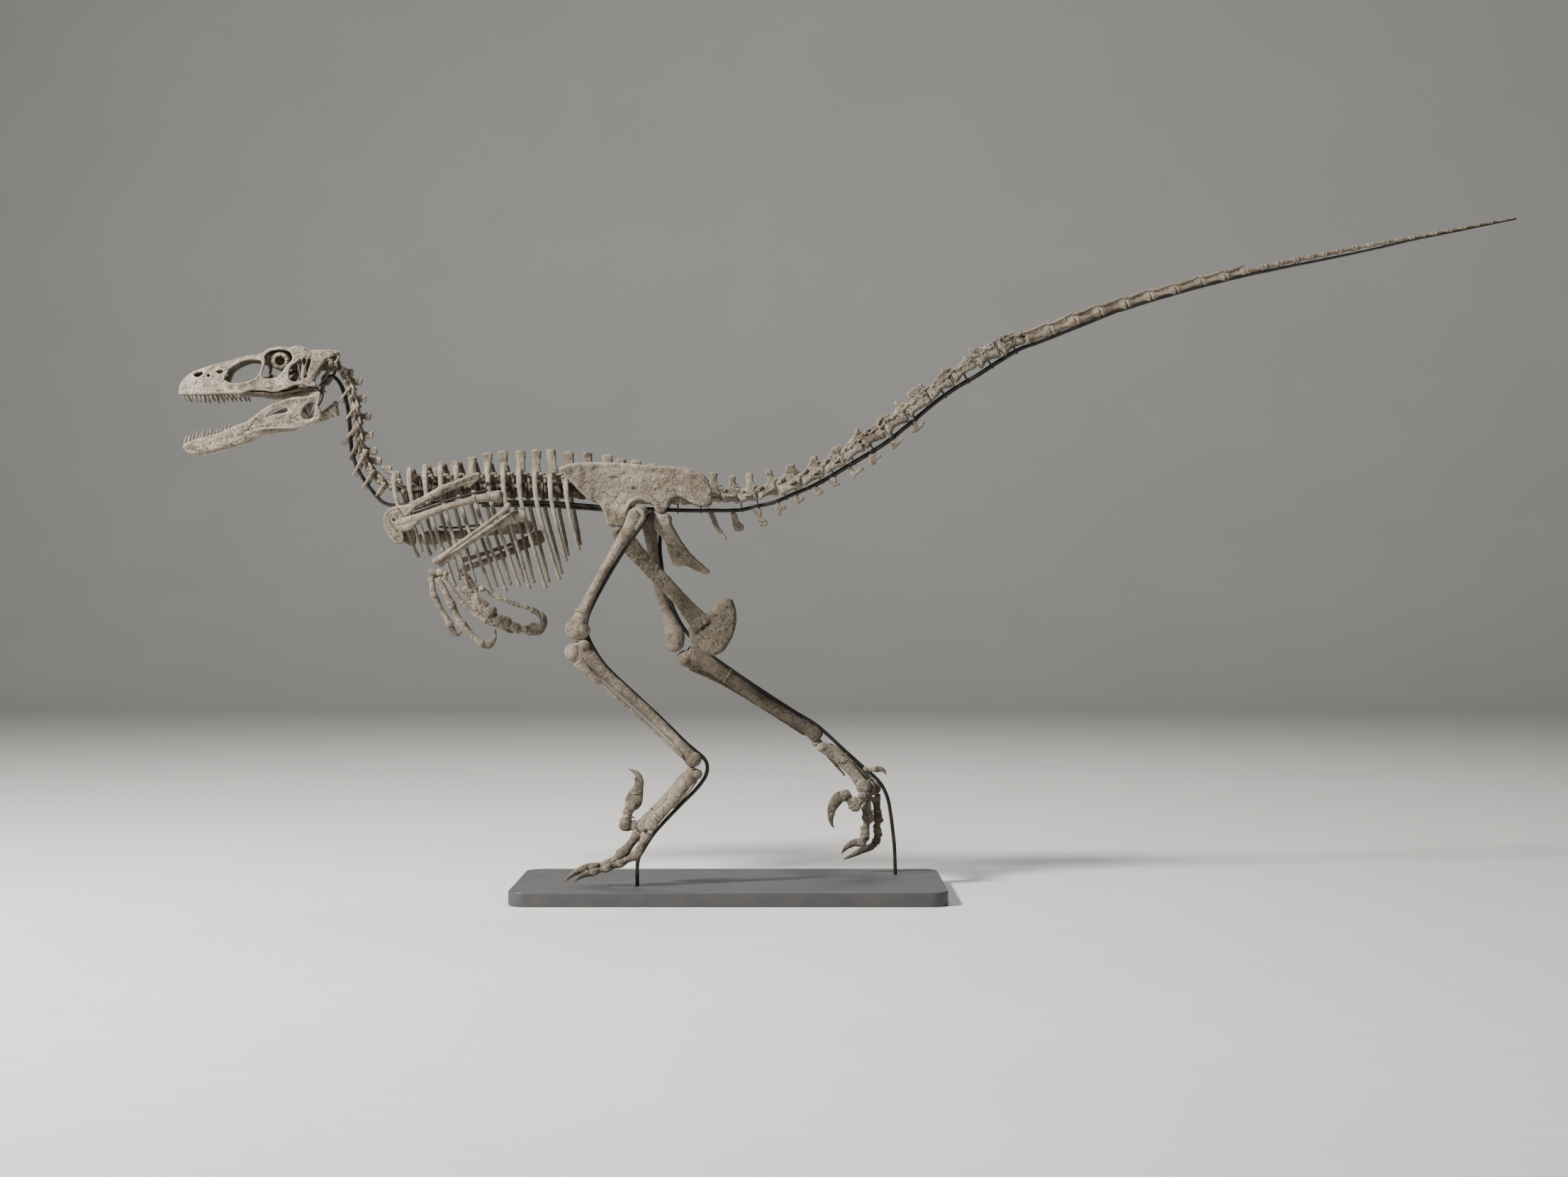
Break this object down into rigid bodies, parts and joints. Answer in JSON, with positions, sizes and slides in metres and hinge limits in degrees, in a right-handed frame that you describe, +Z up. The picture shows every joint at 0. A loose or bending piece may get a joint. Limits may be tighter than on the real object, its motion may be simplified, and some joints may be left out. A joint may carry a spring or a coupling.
{
  "type": "mounted dinosaur skeleton",
  "caption": "Life-size mounted skeleton of a running dromaeosaur with raised sickle toes and a long upswept tail, on bent steel rods over a flat display base.",
  "frame": {"origin": "middle of the flat base's underside", "axes": "the animal faces -X with its left side towards -Y; +X runs to the tail tip, +Z is up"},
  "size_m": [3.0095, 0.46, 1.5271],
  "materials": {
    "fossil_bone": "matte",
    "armature_steel": "satin",
    "base_board": "satin"
  },
  "bodies": {
    "root": {"eye_ring_left": "fossil_bone", "eye_ring_right": "fossil_bone", "femur_left": "fossil_bone", "femur_right": "fossil_bone", "fibula_left": "fossil_bone", "fibula_right": "fossil_bone", "finger_1_left": "fossil_bone", "finger_1_right": "fossil_bone", "finger_2_left": "fossil_bone", "finger_2_right": "fossil_bone", "finger_3_left": "fossil_bone", "finger_3_right": "fossil_bone", "humerus_left": "fossil_bone", "humerus_right": "fossil_bone", "ilium_left": "fossil_bone", "ilium_right": "fossil_bone", "ischium_left": "fossil_bone", "ischium_right": "fossil_bone", "mandible_left": "fossil_bone", "mandible_right": "fossil_bone", "metatarsus_left": "fossil_bone", "metatarsus_right": "fossil_bone", "neck_lower": "fossil_bone", "neck_upper": "fossil_bone", "palm_left": "fossil_bone", "palm_right": "fossil_bone", "pubis": "fossil_bone", "radius_left": "fossil_bone", "radius_right": "fossil_bone", "sacrum": "fossil_bone", "scapula_left": "fossil_bone", "scapula_right": "fossil_bone", "skull": "fossil_bone", "stand_arm_left": "armature_steel", "stand_arm_right": "armature_steel", "stand_backbone": "armature_steel", "stand_base": "base_board", "stand_leg_left": "armature_steel", "stand_leg_right": "armature_steel", "tail_1": "fossil_bone", "tail_2": "fossil_bone", "tail_3": "fossil_bone", "tail_4": "fossil_bone", "tail_5": "fossil_bone", "tail_6": "fossil_bone", "tibia_left": "fossil_bone", "tibia_right": "fossil_bone", "toe_1_left": "fossil_bone", "toe_1_right": "fossil_bone", "toe_2_left": "fossil_bone", "toe_2_right": "fossil_bone", "toe_3_left": "fossil_bone", "toe_3_right": "fossil_bone", "toe_4_left": "fossil_bone", "toe_4_right": "fossil_bone", "trunk_left": "fossil_bone", "trunk_right": "fossil_bone", "ulna_left": "fossil_bone", "ulna_right": "fossil_bone"}
  },
  "joints": []
}
